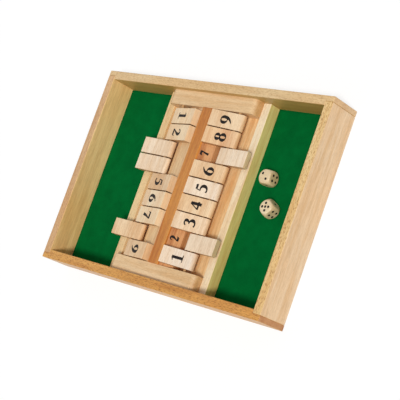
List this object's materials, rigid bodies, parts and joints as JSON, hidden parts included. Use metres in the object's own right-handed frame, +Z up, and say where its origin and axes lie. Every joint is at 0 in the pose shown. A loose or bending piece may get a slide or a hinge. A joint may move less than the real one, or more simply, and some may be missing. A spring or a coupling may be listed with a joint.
{
  "type": "shut the box game",
  "caption": "Open wooden game box with two felt trays and a raised centre carrying two rows of hinged numbered tiles, with loose dice.",
  "frame": {"origin": "middle of the box's underside", "axes": "+X along the long side towards the tray with the dice, +Y from the front wall to the back wall, +Z up"},
  "size_m": [0.302, 0.208, 0.036],
  "materials": {
    "wall_wood": "satin lacquered rubberwood",
    "panel_wood": "plain plywood",
    "felt": "green felt",
    "pale_wood": "satin lacquered pale wood",
    "ramp_wood": "satin lacquered reddish wood",
    "strip_wood": "satin lacquered orange-brown wood",
    "block_wood": "satin lacquered cream wood",
    "dowel_wood": "plain dowel",
    "tile_wood": "satin lacquered pale wood",
    "die_wood": "smooth lacquered pale wood"
  },
  "bodies": {
    "box": {"front_wall": "wall_wood", "back_wall": "wall_wood", "left_wall": "wall_wood", "right_wall": "wall_wood", "base_panel": "panel_wood", "left_felt": "felt", "right_felt": "felt", "centre_deck": "pale_wood", "left_rail": "pale_wood", "right_rail": "pale_wood", "left_ramp": "pale_wood", "right_ramp": "ramp_wood", "centre_strip": "strip_wood", "back_end_block": "block_wood", "front_end_block": "block_wood", "left_rod": "dowel_wood", "right_rod": "dowel_wood"},
    "left_tile_1": {"left_tile_1": "tile_wood"},
    "left_tile_2": {"left_tile_2": "tile_wood"},
    "left_tile_3": {"left_tile_3": "tile_wood"},
    "left_tile_4": {"left_tile_4": "tile_wood"},
    "left_tile_5": {"left_tile_5": "tile_wood"},
    "left_tile_6": {"left_tile_6": "tile_wood"},
    "left_tile_7": {"left_tile_7": "tile_wood"},
    "left_tile_8": {"left_tile_8": "tile_wood"},
    "left_tile_9": {"left_tile_9": "tile_wood"},
    "right_tile_1": {"right_tile_1": "tile_wood"},
    "right_tile_2": {"right_tile_2": "tile_wood"},
    "right_tile_3": {"right_tile_3": "tile_wood"},
    "right_tile_4": {"right_tile_4": "tile_wood"},
    "right_tile_5": {"right_tile_5": "tile_wood"},
    "right_tile_6": {"right_tile_6": "tile_wood"},
    "right_tile_7": {"right_tile_7": "tile_wood"},
    "right_tile_8": {"right_tile_8": "tile_wood"},
    "right_tile_9": {"right_tile_9": "tile_wood"},
    "die_one": {"die_one": "die_wood"},
    "die_two": {"die_two": "die_wood"}
  },
  "joints": [
    {"name": "left_tile_1_hinge", "type": "hinge", "parent": "box", "child": "left_tile_1", "pos_m": [-0.0388, 0.0676, 0.0257], "axis": [0, -1, 0], "range_deg": [0, 173.5]},
    {"name": "left_tile_2_hinge", "type": "hinge", "parent": "box", "child": "left_tile_2", "pos_m": [-0.0388, 0.0503, 0.0257], "axis": [0, -1, 0], "range_deg": [0, 173.5]},
    {"name": "left_tile_3_hinge", "type": "hinge", "parent": "box", "child": "left_tile_3", "pos_m": [-0.0388, 0.033, 0.0257], "axis": [0, 1, 0], "range_deg": [-8.9, 164.6]},
    {"name": "left_tile_4_hinge", "type": "hinge", "parent": "box", "child": "left_tile_4", "pos_m": [-0.0388, 0.0157, 0.0257], "axis": [0, 1, 0], "range_deg": [-8.9, 164.6]},
    {"name": "left_tile_5_hinge", "type": "hinge", "parent": "box", "child": "left_tile_5", "pos_m": [-0.0388, -0.0016, 0.0257], "axis": [0, -1, 0], "range_deg": [0, 173.5]},
    {"name": "left_tile_6_hinge", "type": "hinge", "parent": "box", "child": "left_tile_6", "pos_m": [-0.0388, -0.0189, 0.0257], "axis": [0, -1, 0], "range_deg": [0, 173.5]},
    {"name": "left_tile_7_hinge", "type": "hinge", "parent": "box", "child": "left_tile_7", "pos_m": [-0.0388, -0.0362, 0.0257], "axis": [0, -1, 0], "range_deg": [0, 173.5]},
    {"name": "left_tile_8_hinge", "type": "hinge", "parent": "box", "child": "left_tile_8", "pos_m": [-0.0388, -0.0535, 0.0257], "axis": [0, 1, 0], "range_deg": [-8.9, 164.6]},
    {"name": "left_tile_9_hinge", "type": "hinge", "parent": "box", "child": "left_tile_9", "pos_m": [-0.0388, -0.0708, 0.0257], "axis": [0, -1, 0], "range_deg": [0, 173.5]},
    {"name": "right_tile_1_hinge", "type": "hinge", "parent": "box", "child": "right_tile_1", "pos_m": [0.0388, -0.0687, 0.0257], "axis": [0, 1, 0], "range_deg": [0, 173.5]},
    {"name": "right_tile_2_hinge", "type": "hinge", "parent": "box", "child": "right_tile_2", "pos_m": [0.0388, -0.0514, 0.0257], "axis": [0, -1, 0], "range_deg": [-8.9, 164.6]},
    {"name": "right_tile_3_hinge", "type": "hinge", "parent": "box", "child": "right_tile_3", "pos_m": [0.0388, -0.0341, 0.0257], "axis": [0, 1, 0], "range_deg": [0, 173.5]},
    {"name": "right_tile_4_hinge", "type": "hinge", "parent": "box", "child": "right_tile_4", "pos_m": [0.0388, -0.0168, 0.0257], "axis": [0, 1, 0], "range_deg": [0, 173.5]},
    {"name": "right_tile_5_hinge", "type": "hinge", "parent": "box", "child": "right_tile_5", "pos_m": [0.0388, 0.0005, 0.0257], "axis": [0, 1, 0], "range_deg": [0, 173.5]},
    {"name": "right_tile_6_hinge", "type": "hinge", "parent": "box", "child": "right_tile_6", "pos_m": [0.0388, 0.0178, 0.0257], "axis": [0, 1, 0], "range_deg": [0, 173.5]},
    {"name": "right_tile_7_hinge", "type": "hinge", "parent": "box", "child": "right_tile_7", "pos_m": [0.0388, 0.0351, 0.0257], "axis": [0, -1, 0], "range_deg": [-8.9, 164.6]},
    {"name": "right_tile_8_hinge", "type": "hinge", "parent": "box", "child": "right_tile_8", "pos_m": [0.0388, 0.0524, 0.0257], "axis": [0, 1, 0], "range_deg": [0, 173.5]},
    {"name": "right_tile_9_hinge", "type": "hinge", "parent": "box", "child": "right_tile_9", "pos_m": [0.0388, 0.0697, 0.0257], "axis": [0, 1, 0], "range_deg": [0, 173.5]},
    {"name": "die_one_lift", "type": "slide", "parent": "box", "child": "die_one", "axis": [0, 0, 1], "range_m": [0, 0.06]},
    {"name": "die_two_lift", "type": "slide", "parent": "box", "child": "die_two", "axis": [0, 0, 1], "range_m": [0, 0.06]}
  ]
}
